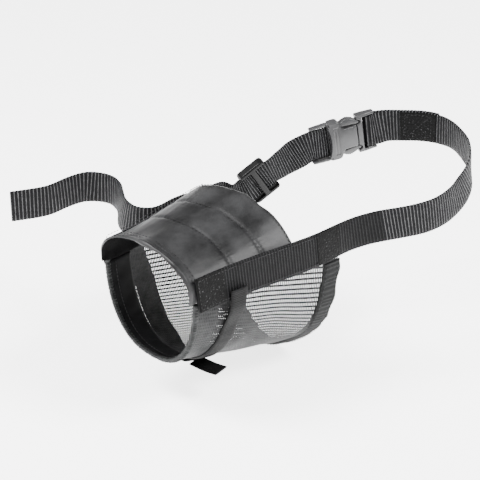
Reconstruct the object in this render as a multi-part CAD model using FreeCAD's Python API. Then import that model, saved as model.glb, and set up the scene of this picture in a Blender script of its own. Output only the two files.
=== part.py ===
import FreeCAD, Part
import math
import os

# Soft nylon and net muzzle, millimetres. X runs back towards the head, Y to the far side, Z up.
# The origin is the middle of the nose opening, carried back to the plane of the rear edge.

os.makedirs("parts", exist_ok=True)
V = FreeCAD.Vector

LENGTH = 105.0          # nose opening to rear edge along the side straps
STRAP_W = 20.0          # webbing width
STRAP_T = 1.5           # webbing thickness
STRAP_Z = 18.0          # height of the side strap centre line
GAP = 0.15              # air between layers of one body
NOSE_HALF = 38.0        # half width at the nose opening
REAR_GAIN = 11.0        # how much wider each side is at the rear
FAR_TUCK = 9.0          # how far the far rear corner is drawn in
WALL_INSET = 1.1        # wall face inside the strap centre line
CROWN = 37.0            # height of the top panel at its waist
CROWN_RISE = 7.0        # extra height at the panel's rear edge
PANEL_LEN = 71.0        # top panel length
BAND_LEN = 18.0         # nose band length
PIVOT_X = -6.0          # neck loop tilt axis
PIVOT_Z = 18.7
PIVOT_R = 10.0
HINGE_GAP = 1.1
CHIN_X0 = 20.5          # chin strap front edge, from the nose opening
CHIN_X1 = 32.5
CHIN_FAR_X1 = 36.0
REAR_SLANT = 8.0 / 70.0
BUCKLE_AT = V(59.7, 6.7, 44.0)
BUCKLE_DIR = V(0.8992, -0.4142, 0.1412)
SLIDER_AT = V(10.5, 29.2, 23.5)
SLIDER_DIR = V(0.766, -0.336, 0.547)
SLIDER_LEAN = -12.0


def save(shape, node):
    if not shape.isValid():
        shape = shape.removeSplitter()
    shape.exportStep("parts/" + node + ".step")


def ramp(x):
    x = min(max(x, 0.0), 1.0)
    return x * x * (3.0 - 2.0 * x)


def near_half(s):
    return NOSE_HALF + REAR_GAIN * ramp(s / 112.0)


def far_half(s):
    tuck = max(0.0, (s - 60.0) / 45.0)
    return near_half(s) - FAR_TUCK * tuck ** 3


def crown(s):
    return CROWN + CROWN_RISE * ((s - 15.0) / 56.0) ** 2


def belly(s):
    return 35.5 + 0.31 * s


def squareness(s):
    return 2.4 - 0.45 * ramp(s / LENGTH)


def outline(s, deg):
    """Wall face at station s: 0 far side, 90 top, 180 near side, 270 bottom."""
    a = math.radians(deg)
    c = math.cos(a)
    sn = math.sin(a)
    half = (far_half(s) if c > 0 else near_half(s)) - WALL_INSET
    if sn >= 0:
        return half * c, STRAP_Z + (crown(s) - STRAP_Z) * sn
    n = 2.0 / squareness(s)
    y = half * math.copysign(abs(c) ** n, c)
    return y, STRAP_Z - (belly(s) + STRAP_Z) * abs(sn) ** n


def at(s, deg, off):
    """Point off the wall face by off along its normal."""
    y, z = outline(s, deg)
    y0, z0 = outline(s, deg - 0.5)
    y1, z1 = outline(s, deg + 0.5)
    ty = y1 - y0
    tz = z1 - z0
    k = off / math.hypot(ty, tz)
    return V(s - LENGTH, y + tz * k, z - ty * k)


def edge_deg(s, z):
    """Angle below the side at which the lower wall face reaches height z."""
    q = (STRAP_Z - z) / (belly(s) + STRAP_Z)
    return math.degrees(math.asin(q ** (squareness(s) / 2.0)))


def spline(points):
    curve = Part.BSplineCurve()
    curve.interpolate(points)
    return curve.toShape()


def arc_wire(s, d0, d1, inner, outer, count):
    degs = [d0 + (d1 - d0) * i / (count - 1.0) for i in range(count)]
    out = [at(s, d, outer(s, d) if callable(outer) else outer) for d in degs]
    ins = [at(s, d, inner(s, d) if callable(inner) else inner) for d in reversed(degs)]
    edges = [spline(out), Part.makeLine(out[-1], ins[0]), spline(ins), Part.makeLine(ins[-1], out[0])]
    return Part.Wire(edges)


def shell(s0, s1, span, inner, outer, stations=6, count=19):
    """Curved sheet between stations s0 and s1; span(s) gives its two end angles."""
    wires = []
    for i in range(stations):
        s = s0 + (s1 - s0) * i / (stations - 1.0)
        d0, d1 = span(s)
        wires.append(arc_wire(s, d0, d1, inner, outer, count))
    return Part.makeLoft(wires, True, stations == 2)


def across(path_dir, lean):
    """Unit tangent, width and face directions of a strap."""
    t = V(path_dir)
    t.normalize()
    up = V(0, 0, 1) - t * t.z
    up.normalize()
    side = up.cross(t)
    a = math.radians(lean)
    w = up * math.cos(a) + side * math.sin(a)
    return t, w, t.cross(w)


class Track:
    """Smooth centre line through waypoints (x, y, z, lean)."""

    def __init__(self, rows):
        self.curve = Part.BSplineCurve()
        points = [V(r[0], r[1], r[2]) for r in rows]
        steps = [0.0]
        for a, b in zip(points, points[1:]):
            steps.append(steps[-1] + (b - a).Length)
        self.curve.interpolate(Points=points, Parameters=steps)
        self.steps = steps
        self.leans = [r[3] for r in rows]

    def lean(self, u):
        for i in range(len(self.steps) - 1):
            if u <= self.steps[i + 1]:
                break
        k = ramp((u - self.steps[i]) / (self.steps[i + 1] - self.steps[i]))
        return self.leans[i] * (1.0 - k) + self.leans[i + 1] * k

    def strap(self, u0, u1, shift=0.0, width=STRAP_W, thick=STRAP_T, pitch=4.0):
        """Webbing from u0 to u1; shift(u) or a number moves it off along its face."""
        count = max(3, int(abs(u1 - u0) / pitch) + 1)
        wires = []
        for i in range(count):
            u = u0 + (u1 - u0) * i / (count - 1.0)
            p = self.curve.value(u)
            t, w, n = across(self.curve.tangent(u)[0], self.lean(u))
            p = p + n * (shift(u) if callable(shift) else shift)
            a = w * (width / 2.0)
            b = n * (thick / 2.0)
            wires.append(Part.makePolygon([p + a + b, p + a - b, p - a - b, p - a + b, p + a + b]))
        return Part.makeLoft(wires, True, False)


def local_block(origin, frame, t0, t1, w0, w1, n0, n1):
    """Box between limits along tangent, width and face directions."""
    t, w, n = frame
    base = origin + t * t0 + w * w0 + n * n0
    corners = [base, base + t * (t1 - t0), base + t * (t1 - t0) + w * (w1 - w0), base + w * (w1 - w0)]
    face = Part.Face(Part.makePolygon(corners + [corners[0]]))
    return face.extrude(n * (n1 - n0))


def local_prism(origin, frame, outline_tw, n0, n1):
    t, w, n = frame
    pts = [origin + t * a + w * b + n * n0 for a, b in outline_tw]
    return Part.Face(Part.makePolygon(pts + [pts[0]])).extrude(n * (n1 - n0))


def local_pin(origin, frame, a, b, radius, n0, n1):
    t, w, n = frame
    return Part.makeCylinder(radius, n1 - n0, origin + t * a + w * b + n * n0, n)


def softened(solid, radius):
    return solid.makeFillet(radius, solid.Edges)


def rear_slab(d0, d1):
    """Slanted slab between d0 and d1 ahead of the sloping rear edge."""
    slab = Part.makeBox(d1 - d0, 140, 140, V(-d1, -70, -90))
    slab.rotate(V(0, 0, 8), V(0, 1, 0), math.degrees(math.atan(REAR_SLANT)))
    return slab


# ---- wall layers -------------------------------------------------------------------------
def over(s):
    return -4.0, 184.0


def under(s):
    d = edge_deg(s, 10.3)
    return 180.0 + d, 360.0 - d


def under_low(s):
    d = edge_deg(s, 5.8)
    return 180.0 + d, 360.0 - d


save(shell(0.0, 68.0, over, -0.8, 0.0), "top_panel_cover")
save(shell(0.0, 68.0, over, -2.95, -0.95), "top_panel_foam")
save(shell(0.0, 68.0, over, -3.9, -3.1), "top_panel_lining")
save(shell(-3.0, -GAP, over, -3.9, 0.0, 3), "panel_front_hem")
save(shell(68.0 + GAP, PANEL_LEN, over, -3.9, 0.0, 3), "panel_rear_hem")


def seam_span(s):
    return 12.0, 168.0


for number, station in enumerate((29.0, 50.0)):
    row = shell(station, station + 1.0, seam_span, 0.05, 0.45, 2)
    save(row, "panel_seam_%d" % (number + 1))

save(shell(2.2, BAND_LEN, under, -0.6, 0.0, 4, 25), "nose_band_outer")
save(shell(2.2, BAND_LEN, under, -1.35, -0.75, 4, 25), "nose_band_lining")
save(shell(0.0, 2.0, under, -2.2, 0.9, 3, 25), "front_binding")

hinge_room = Part.makeBox(60, 140, 60, V(PIVOT_X - PIVOT_R - 3.0, -70, 6.2))
net = shell(BAND_LEN + GAP, 107.0, under, -0.6, 0.0, 8, 31)
net = net.common(rear_slab(1.0, 120.0)).cut(hinge_room)
save(net, "net_body")
rear_zone = rear_slab(0.0, 13.5)
save(shell(80.0, 108.0, under_low, 0.15, 0.95, 5, 31).common(rear_zone), "rear_binding_outer")
save(shell(80.0, 108.0, under_low, -1.55, -0.75, 5, 31).common(rear_zone), "rear_binding_lining")


# ---- chin strap --------------------------------------------------------------------------
NEAR_CLEAR = 3.95
FAR_CLEAR = 5.2


def side_clear(s, deg):
    """Extra offset that carries the chin strap over the side strap's lower edge."""
    y, z = outline(s, deg)
    return (FAR_CLEAR if y > 0 else NEAR_CLEAR) * ramp((z + 14.0) / 20.0)


def chin_in(s, deg):
    return 0.15 + side_clear(s, deg)


def chin_out(s, deg):
    return 1.35 + side_clear(s, deg)


def chin_near_span(s):
    return 180.0 + edge_deg(s, 14.5), 275.0


def patch_span(s):
    return 262.5, 274.0


def chin_far_in(s, deg):
    return chin_in(s, deg) + 2.85 * ramp((292.0 - deg) / 14.0)


def chin_far_out(s, deg):
    return chin_far_in(s, deg) + 1.2


def chin_far_span(s):
    return 262.0, 360.0 - edge_deg(s, 14.5)


save(shell(CHIN_X0, CHIN_X1, chin_near_span, chin_in, chin_out, 3, 31), "chin_strap_near")
save(shell(CHIN_X0, CHIN_FAR_X1, chin_far_span, chin_far_in, chin_far_out, 3, 31), "chin_strap_far")
save(shell(CHIN_X0 + 0.5, CHIN_X1 - 0.5, patch_span, 1.5, 2.1, 3, 9), "loop_patch")
save(shell(CHIN_X0 + 0.5, CHIN_X1 - 0.5, patch_span, 2.25, 2.85, 3, 9), "hook_patch")

TAB_LEN = 18.5
TAB_W = 11.0
tab_root = at(CHIN_X0 + 6.0, 262.0, 3.6) - V(0, 1.0, 0)
tab = Part.makeBox(TAB_W, TAB_LEN, 1.2, V(tab_root.x - TAB_W / 2.0, tab_root.y - TAB_LEN, tab_root.z - 0.6))
save(tab, "chin_strap_tab")

# ---- straps ------------------------------------------------------------------------------
near_track = Track([
    (-104, -38.0, 18.0, 11), (-85, -38.9, 18.0, 11), (-65, -41.3, 18.0, 11), (-39, -45.2, 18.0, 10),
    (-18, -47.9, 18.3, 8), (6.3, -50.1, 19.5, 4), (18.3, -56.1, 21.5, 2), (29.8, -66.7, 24.5, 0),
    (44.3, -75.6, 27.0, 3), (61.6, -76.7, 29.2, 6), (72.4, -75.0, 32.2, 8), (80.1, -73.2, 37.0, 6),
    (86.4, -69.6, 42.0, 4), (92.7, -62.3, 45.8, 4), (96.4, -53.8, 48.2, 6), (99.6, -43.0, 49.5, 8),
    (98.8, -34.0, 49.8, 6), (94.0, -23.6, 49.8, 4), (87.6, -14.6, 49.2, 3), (81.9, -6.4, 48.2, 1),
    (77.2, -1.4, 46.75, 0), (73.2, 0.5, 46.1, 0)])
far_track = Track([
    (-104, 38.6, 18.0, -16), (-85, 39.5, 18.0, -16), (-65, 41.9, 18.0, -15), (-39, 45.4, 18.2, -13),
    (-17, 45.6, 18.6, -9), (-8, 43.2, 18.6, -9), (-2.6, 38.0, 17.0, -11), (3.4, 32.3, 18.44, -12),
    (10.5, 29.2, 23.5, -12), (17.4, 26.2, 28.4, -10), (24.6, 24.2, 31.9, -3), (31.3, 21.4, 35.5, 1),
    (36.3, 17.9, 39.0, 0), (41.3, 15.2, 41.1, 0), (45.8, 13.1, 41.8, 0), (49.3, 11.5, 42.37, 0)])
PIVOT_U_NEAR = near_track.steps[4] + 10.0
PIVOT_U_FAR = far_track.steps[4] + 10.0
CUT_U = near_track.steps[6] + 5.0


def pivot_cylinder(radius):
    return Part.makeCylinder(radius, 160, V(PIVOT_X, -80, PIVOT_Z), V(0, 1, 0))


behind = Part.makeBox(200, 200, 200, V(PIVOT_X, -100, -100))
SIDE_STRAPS = (("near_side_strap", near_track, PIVOT_U_NEAR), ("far_side_strap", far_track, PIVOT_U_FAR))
for node, track, pivot_u in SIDE_STRAPS:
    strap = track.strap(0.0, pivot_u + 6.0)
    save(strap.cut(pivot_cylinder(PIVOT_R + HINGE_GAP)).cut(behind), node)
keep = behind.fuse(pivot_cylinder(PIVOT_R))
stub = near_track.strap(PIVOT_U_NEAR - 14.0, CUT_U, pitch=3.0)
save(stub.common(keep), "near_neck_strap")
far_strap = far_track.strap(PIVOT_U_FAR - 14.0, far_track.steps[-1] - 1.0, pitch=3.0)
save(far_strap.common(keep), "far_neck_strap")

# ---- buckle ------------------------------------------------------------------------------
buckle = across(BUCKLE_DIR, 0.0)
HALF_BUCKLE = 12.6      # half width of the socket
RAIL_IN = 10.7          # inner face of the frame rails, clear of the webbing
BODY_N = 4.2            # half thickness of the socket body
NECK_W = 6.8            # half width of the spine between the latch windows
MOUTH_T = 8.0
POCKET_W = 11.0
POCKET_N = 2.8
PLUG_HALF = 12.5
PLUG_N = 3.2
ARM_N = 2.3
ARM_PIN_T = 9.1
ARM_PIN_W = 8.6
ARM_PIN_R = 1.25
PIN_SEAT_R = 1.6
MOULD_EDGE = 0.6        # edge rounding of the mouldings

BODY_LINE = [(-10.5, 11.9), (-9.6, HALF_BUCKLE), (-4.4, HALF_BUCKLE), (-2.8, 11.9), (-1.6, 8.2), (-0.2, NECK_W),
             (5.6, NECK_W), (7.2, 7.2), (MOUTH_T, 7.2)]
RAIL_LINE = [(-21.4, RAIL_IN), (-21.4, 11.6), (-20.6, 12.0), (-9.0, HALF_BUCKLE), (-9.0, RAIL_IN)]
ARM_LINE = [(9.1, 7.45), (3.0, 7.6), (-2.0, 8.4), (-6.0, 8.6), (-6.4, 9.4), (-5.6, 10.4), (-1.4, 10.6),
            (0.4, 11.7), (2.2, 12.2), (4.0, 12.1), (7.0, 10.9), (7.9, 9.8), (9.1, 9.75)]


def mirrored(points, side):
    return [(a, side * b) for a, b in points]


def buckle_block(t0, t1, w0, w1, n0, n1):
    """Block in the buckle's own directions; w0 and w1 in either order."""
    low, high = sorted((w0, w1))
    return local_block(BUCKLE_AT, buckle, t0, t1, low, high, n0, n1)


body = BODY_LINE + mirrored(reversed(BODY_LINE), -1)
socket = softened(local_prism(BUCKLE_AT, buckle, body, -BODY_N, BODY_N), MOULD_EDGE)
for side in (-1, 1):
    socket = socket.fuse(local_prism(BUCKLE_AT, buckle, mirrored(RAIL_LINE, side), -3.4, 2.4))
socket = socket.fuse(buckle_block(-20.5, -17.0, -RAIL_IN, RAIL_IN, -3.4, -1.6))
socket = socket.cut(buckle_block(-7.5, -2.0, -POCKET_W, POCKET_W, -POCKET_N, POCKET_N))
socket = socket.cut(buckle_block(-2.6, MOUTH_T + 1.0, -5.4, 5.4, -POCKET_N, POCKET_N))
for side in (-1, 1):
    window = buckle_block(-2.2, MOUTH_T + 1.0, side * NECK_W, side * (HALF_BUCKLE + 1.0), -POCKET_N, POCKET_N)
    socket = socket.cut(window)
save(socket.removeSplitter(), "buckle_socket")

plug = buckle_block(8.5, 12.0, -PLUG_HALF, PLUG_HALF, -PLUG_N, PLUG_N)
for side in (-1, 1):
    plug = plug.fuse(buckle_block(12.0, 20.5, side * RAIL_IN, side * PLUG_HALF, -PLUG_N, PLUG_N))
plug = softened(plug.removeSplitter(), MOULD_EDGE)
plug = plug.fuse(buckle_block(15.6, 18.4, -RAIL_IN - 0.5, RAIL_IN + 0.5, -1.1, 1.1))
plug = plug.fuse(buckle_block(-5.5, 9.0, -2.3, 2.3, -2.1, 2.1))
for side in (-1, 1):
    seat = local_pin(BUCKLE_AT, buckle, ARM_PIN_T, side * ARM_PIN_W, PIN_SEAT_R, -PLUG_N - 0.1, PLUG_N + 0.1)
    plug = plug.cut(seat)
save(plug.removeSplitter(), "buckle_plug")

for node, side in (("latch_arm_upper", 1), ("latch_arm_lower", -1)):
    arm = local_prism(BUCKLE_AT, buckle, mirrored(ARM_LINE, side), -ARM_N, ARM_N)
    arm = arm.fuse(local_pin(BUCKLE_AT, buckle, ARM_PIN_T, side * ARM_PIN_W, ARM_PIN_R, -ARM_N, ARM_N))
    save(arm.removeSplitter(), node)

BAR_CLEAR = 2.3
bar_u = near_track.steps[-1]
JOIN = 14.0


def plug_front(u):
    return -BAR_CLEAR * ramp((u - (bar_u - JOIN)) / (JOIN - 6.0))


def fold_shift(u):
    k = ramp((u - (bar_u - JOIN)) / (JOIN - 6.0))
    return (STRAP_T + GAP) * (1.0 - k) + BAR_CLEAR * k


loop = near_track.strap(CUT_U + 0.4, bar_u, plug_front, pitch=3.0)
save(loop, "near_loop_strap")
fold = near_track.strap(bar_u - 46.0, bar_u, fold_shift, pitch=3.0)
save(fold, "plug_strap_fold")

# ---- slider ------------------------------------------------------------------------------
ladder = across(SLIDER_DIR, SLIDER_LEAN)
SLIDER_HALF = 9.2       # half length along the strap
RAIL_W = 13.4           # half width over the rails
SLOT_W = 11.0           # half width of the strap slots
BAR_T = 1.8             # width of the two end bars
FRAME_BOTTOM = -4.6
FRAME_TOP = 3.0
END_BAR_TOP = -2.9
MID_BAR_BOTTOM = 1.5
SLIDER_EDGE = 0.9


def slider_block(t, w, n0, n1):
    return local_block(SLIDER_AT, ladder, -t, t, -w, w, n0, n1)


frame = softened(slider_block(SLIDER_HALF, RAIL_W, FRAME_BOTTOM, FRAME_TOP), SLIDER_EDGE)
frame = frame.cut(slider_block(SLIDER_HALF - BAR_T, SLOT_W, FRAME_BOTTOM - 1.0, FRAME_TOP + 1.0))
frame = frame.cut(slider_block(SLIDER_HALF + 1.0, SLOT_W, END_BAR_TOP, FRAME_TOP + 1.0))
frame = frame.fuse(slider_block(1.6, SLOT_W + 0.5, MID_BAR_BOTTOM, FRAME_TOP))
save(frame.removeSplitter(), "slider")

# ---- loose strap end ---------------------------------------------------------------------
tail_track = Track([
    (-1.0, 43.0, 18.6, 0), (-6.0, 46.6, 17.4, 0), (-18, 50.3, 14.2, 0), (-42, 50.5, 12.2, 0),
    (-55, 50.5, 12.0, 0), (-62, 56.0, 12.0, -6), (-63, 66.0, 12.0, -12), (-58.5, 76.0, 12.0, -12),
    (-51.5, 85.0, 12.0, -8), (-47.0, 93.5, 12.0, -4), (-46.2, 102.0, 12.0, 0), (-50, 109.0, 12.3, 0),
    (-56, 112.5, 13.0, 0), (-62, 114.0, 13.0, 0), (-70, 115.0, 12.6, 0), (-80, 115.6, 12.0, 0),
    (-92, 119.5, 12.0, 0), (-103, 125.0, 12.0, 0)])
save(tail_track.strap(0.0, tail_track.steps[-1], pitch=3.0), "strap_tail")
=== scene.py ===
import bmesh
import bpy
import math
import numpy as np
from mathutils import Matrix, Vector


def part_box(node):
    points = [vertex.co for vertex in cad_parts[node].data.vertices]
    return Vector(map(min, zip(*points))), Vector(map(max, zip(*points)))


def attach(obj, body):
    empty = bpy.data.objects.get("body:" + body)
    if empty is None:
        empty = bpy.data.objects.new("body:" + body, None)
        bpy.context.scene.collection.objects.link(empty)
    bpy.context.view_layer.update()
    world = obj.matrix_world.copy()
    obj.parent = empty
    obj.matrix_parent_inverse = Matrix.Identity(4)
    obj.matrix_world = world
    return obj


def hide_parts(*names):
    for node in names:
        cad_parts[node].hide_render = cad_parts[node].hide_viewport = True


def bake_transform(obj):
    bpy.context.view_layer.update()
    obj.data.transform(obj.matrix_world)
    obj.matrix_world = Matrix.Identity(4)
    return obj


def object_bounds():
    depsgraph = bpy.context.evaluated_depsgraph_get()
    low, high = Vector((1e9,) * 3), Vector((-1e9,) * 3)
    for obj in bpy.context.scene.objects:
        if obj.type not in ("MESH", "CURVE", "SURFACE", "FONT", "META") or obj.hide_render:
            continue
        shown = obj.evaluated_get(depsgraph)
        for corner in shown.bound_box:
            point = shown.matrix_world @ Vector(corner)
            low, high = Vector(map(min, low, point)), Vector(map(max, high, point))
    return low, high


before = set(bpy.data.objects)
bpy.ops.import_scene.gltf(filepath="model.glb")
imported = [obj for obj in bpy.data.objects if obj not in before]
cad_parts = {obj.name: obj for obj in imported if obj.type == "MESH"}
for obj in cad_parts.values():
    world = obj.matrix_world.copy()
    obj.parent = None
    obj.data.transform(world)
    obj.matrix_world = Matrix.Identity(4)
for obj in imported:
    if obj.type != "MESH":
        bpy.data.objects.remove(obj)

cad_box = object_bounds()
MM = 0.001

# ---- the same dimensions as the CAD, in millimetres ------------------------------------------
LENGTH = 105.0          # nose opening to rear edge along the side straps
STRAP_W = 20.0          # webbing width
STRAP_T = 1.5           # webbing thickness
STRAP_Z = 18.0          # height of the side strap centre line
NOSE_HALF = 38.0        # half width at the nose opening
REAR_GAIN = 11.0        # how much wider each side is at the rear
FAR_TUCK = 9.0          # how far the far rear corner is drawn in
WALL_INSET = 1.1        # wall face inside the strap centre line
CROWN = 37.0            # height of the top panel at its waist
CROWN_RISE = 7.0        # extra height at the panel's rear edge
PANEL_LEN = 71.0        # top panel length
BAR_CLEAR = 2.3         # webbing centre line from the middle of the plug bar
JOIN = 14.0             # length over which the webbing parts round the plug bar
NEAR_CLEAR = 3.95       # chin strap off the wall over the near side strap
FAR_CLEAR = 5.2         # the same over the far side strap
CHIN_MID = 26.0         # station at which the chin strap's top ends are placed
CHIN_TOP_Z = 14.5       # height of those ends
REAR_SLANT = 8.0 / 70.0
NEAR_ROWS = [
    (-104, -38.0, 18.0, 11), (-85, -38.9, 18.0, 11), (-65, -41.3, 18.0, 11), (-39, -45.2, 18.0, 10),
    (-18, -47.9, 18.3, 8), (6.3, -50.1, 19.5, 4), (18.3, -56.1, 21.5, 2), (29.8, -66.7, 24.5, 0),
    (44.3, -75.6, 27.0, 3), (61.6, -76.7, 29.2, 6), (72.4, -75.0, 32.2, 8), (80.1, -73.2, 37.0, 6),
    (86.4, -69.6, 42.0, 4), (92.7, -62.3, 45.8, 4), (96.4, -53.8, 48.2, 6), (99.6, -43.0, 49.5, 8),
    (98.8, -34.0, 49.8, 6), (94.0, -23.6, 49.8, 4), (87.6, -14.6, 49.2, 3), (81.9, -6.4, 48.2, 1),
    (77.2, -1.4, 46.75, 0), (73.2, 0.5, 46.1, 0)]
FAR_ROWS = [
    (-104, 38.6, 18.0, -16), (-85, 39.5, 18.0, -16), (-65, 41.9, 18.0, -15), (-39, 45.4, 18.2, -13),
    (-17, 45.6, 18.6, -9), (-8, 43.2, 18.6, -9), (-2.6, 38.0, 17.0, -11), (3.4, 32.3, 18.44, -12),
    (10.5, 29.2, 23.5, -12), (17.4, 26.2, 28.4, -10), (24.6, 24.2, 31.9, -3), (31.3, 21.4, 35.5, 1),
    (36.3, 17.9, 39.0, 0), (41.3, 15.2, 41.1, 0), (45.8, 13.1, 41.8, 0), (49.3, 11.5, 42.37, 0)]
TAIL_ROWS = [
    (-1.0, 43.0, 18.6, 0), (-6.0, 46.6, 17.4, 0), (-18, 50.3, 14.2, 0), (-42, 50.5, 12.2, 0),
    (-55, 50.5, 12.0, 0), (-62, 56.0, 12.0, -6), (-63, 66.0, 12.0, -12), (-58.5, 76.0, 12.0, -12),
    (-51.5, 85.0, 12.0, -8), (-47.0, 93.5, 12.0, -4), (-46.2, 102.0, 12.0, 0), (-50, 109.0, 12.3, 0),
    (-56, 112.5, 13.0, 0), (-62, 114.0, 13.0, 0), (-70, 115.0, 12.6, 0), (-80, 115.6, 12.0, 0),
    (-92, 119.5, 12.0, 0), (-103, 125.0, 12.0, 0)]
RIB = 2.35              # rib spacing of the webbing material along its own coordinate


def ramp(x):
    x = np.clip(x, 0.0, 1.0)
    return x * x * (3.0 - 2.0 * x)


def near_half(s):
    """Half width of the body at station s, on the near side."""
    return NOSE_HALF + REAR_GAIN * ramp(s / 112.0)


def far_half(s):
    return near_half(s) - FAR_TUCK * np.maximum(0.0, (s - 60.0) / 45.0) ** 3


def crown(s):
    return CROWN + CROWN_RISE * ((s - 15.0) / 56.0) ** 2


def belly(s):
    return 35.5 + 0.31 * s


def squareness(s):
    return 2.4 - 0.45 * ramp(s / LENGTH)


def outline(s, deg):
    """Wall face at station s: 0 far side, 90 top, 180 near side, 270 bottom."""
    a = np.radians(deg)
    c, sn = np.cos(a), np.sin(a)
    half = np.where(c > 0, far_half(s), near_half(s)) - WALL_INSET
    n = 2.0 / squareness(s)
    top = sn >= 0
    y = np.where(top, half * c, half * np.sign(c) * np.abs(c) ** n)
    z = np.where(top, STRAP_Z + (crown(s) - STRAP_Z) * sn, STRAP_Z - (belly(s) + STRAP_Z) * np.abs(sn) ** n)
    return y, z


def wall(s, deg, off=0.0):
    """Points off the wall face, stacked on a last axis of three."""
    s, deg, off = np.broadcast_arrays(np.asarray(s, float), np.asarray(deg, float), np.asarray(off, float))
    y, z = outline(s, deg)
    y0, z0 = outline(s, deg - 0.5)
    y1, z1 = outline(s, deg + 0.5)
    ty, tz = y1 - y0, z1 - z0
    k = off / np.hypot(ty, tz)
    return np.stack([s - LENGTH, y + tz * k, z - ty * k], -1)


def rear_fullness(s, deg):
    """How far the slack rear of the net stands out from the wall, more on the near side."""
    near_side = 4.6 * np.exp(-((deg - 216.0) / 20.0) ** 2)
    far_side = 2.2 * np.exp(-((deg - 324.0) / 20.0) ** 2)
    return ramp((s - 40.0) / 52.0) * (near_side + far_side)


def edge_deg(s, z):
    """Angle below the side at which the lower wall face reaches height z."""
    q = (STRAP_Z - z) / (belly(s) + STRAP_Z)
    return np.degrees(np.arcsin(q ** (squareness(s) / 2.0)))


def rear_edge(deg):
    """Station of the sloping rear edge at an angle of the lower wall."""
    s = 100.0 + 0.0 * deg
    for _ in range(4):
        s = LENGTH + REAR_SLANT * (outline(s, deg)[1] - 8.0)
    return s


def noise(p, scale, seed):
    """Smooth seeded wave noise, about -1 to 1, at points p in millimetres."""
    rng = np.random.default_rng(seed)
    total = np.zeros(p.shape[:-1])
    for _ in range(7):
        k = rng.normal(size=3)
        k *= (2.0 * np.pi / scale) * rng.uniform(0.7, 1.5) / np.linalg.norm(k)
        total += np.sin(p @ k + rng.uniform(0, 6.28))
    return total / 3.5


class Track:
    """Natural cubic spline through waypoints, in step with the CAD."""

    def __init__(self, rows):
        rows = np.array(rows, float)
        self.p = rows[:, :3]
        self.l = rows[:, 3]
        self.u = np.r_[0.0, np.cumsum(np.linalg.norm(np.diff(self.p, axis=0), axis=1))]
        n = len(self.u)
        h = np.diff(self.u)[:, None]
        a = np.eye(n)
        b = np.zeros((n, 3))
        slope = np.diff(self.p, axis=0) / h
        for i in range(1, n - 1):
            a[i, i - 1], a[i, i], a[i, i + 1] = h[i - 1, 0], 2 * (h[i - 1, 0] + h[i, 0]), h[i, 0]
            b[i] = 6 * (slope[i] - slope[i - 1])
        self.m = np.linalg.solve(a, b)
        self.end = self.u[-1]

    def at(self, u):
        """Point, tangent, width and face directions."""
        u = np.asarray(u, float)
        i = np.clip(np.searchsorted(self.u, u) - 1, 0, len(self.u) - 2)
        h = (self.u[i + 1] - self.u[i])[:, None]
        a = (self.u[i + 1] - u)[:, None] / h
        b = 1.0 - a
        bend = (a ** 3 - a) * self.m[i] + (b ** 3 - b) * self.m[i + 1]
        turn = (3 * b * b - 1) * self.m[i + 1] - (3 * a * a - 1) * self.m[i]
        p = a * self.p[i] + b * self.p[i + 1] + bend * h * h / 6
        t = (self.p[i + 1] - self.p[i]) / h + turn * h / 6
        t /= np.linalg.norm(t, axis=1)[:, None]
        k = ramp(b[:, 0])
        lean = np.radians(self.l[i] * (1 - k) + self.l[i + 1] * k)[:, None]
        up = np.array([0, 0, 1.0]) - t * t[:, 2:3]
        up /= np.linalg.norm(up, axis=1)[:, None]
        w = up * np.cos(lean) + np.cross(up, t) * np.sin(lean)
        return p, t, w, np.cross(t, w)


# ---- materials --------------------------------------------------------------------------------
class Nodes:
    """Small helper for building shader node trees."""

    def __init__(self, name):
        self.mat = bpy.data.materials.new(name)
        self.mat.use_nodes = True
        self.tree = self.mat.node_tree
        self.bsdf = self.tree.nodes["Principled BSDF"]

    def put(self, socket, value):
        if isinstance(value, bpy.types.NodeSocket):
            self.tree.links.new(value, socket)
        else:
            socket.default_value = value

    def add(self, kind, out=0, ins=None, **props):
        n = self.tree.nodes.new(kind)
        for k, v in props.items():
            setattr(n, k, v)
        for k, v in (ins or {}).items():
            self.put(n.inputs[k], v)
        return n.outputs[out]

    def math(self, op, a, b=0.0, c=0.0):
        return self.add("ShaderNodeMath", 0, {0: a, 1: b, 2: c}, operation=op)

    def ramp(self, fac, stops):
        n = self.tree.nodes.new("ShaderNodeValToRGB")
        self.put(n.inputs[0], fac)
        el = n.color_ramp.elements
        while len(el) < len(stops):
            el.new(0.5)
        for e, (pos, col) in zip(el, stops):
            e.position = pos
            e.color = (*col, 1.0)
        return n.outputs[0]

    def noise(self, scale, detail=3.0, rough=0.55):
        co = self.add("ShaderNodeTexCoord", 3)
        ins = {"Vector": co, "Scale": scale, "Detail": detail, "Roughness": rough}
        return self.add("ShaderNodeTexNoise", 0, ins)

    def uv(self):
        s = self.tree.nodes.new("ShaderNodeSeparateXYZ")
        self.put(s.inputs[0], self.add("ShaderNodeTexCoord", 2))
        return s.outputs[0], s.outputs[1]

    def wave(self, coord, period, phase=0.0):
        """0 to 1 sine of a millimetre coordinate."""
        a = self.math("MULTIPLY_ADD", coord, 2.0 * math.pi / period, phase)
        return self.math("MULTIPLY_ADD", self.math("SINE", a), 0.5, 0.5)

    def bump(self, height, strength, distance):
        return self.add("ShaderNodeBump", 0, {"Height": height, "Strength": strength, "Distance": distance})

    def done(self, **sockets):
        for k, v in sockets.items():
            self.put(self.bsdf.inputs[k.replace("_", " ")], v)
        return self.mat


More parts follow.
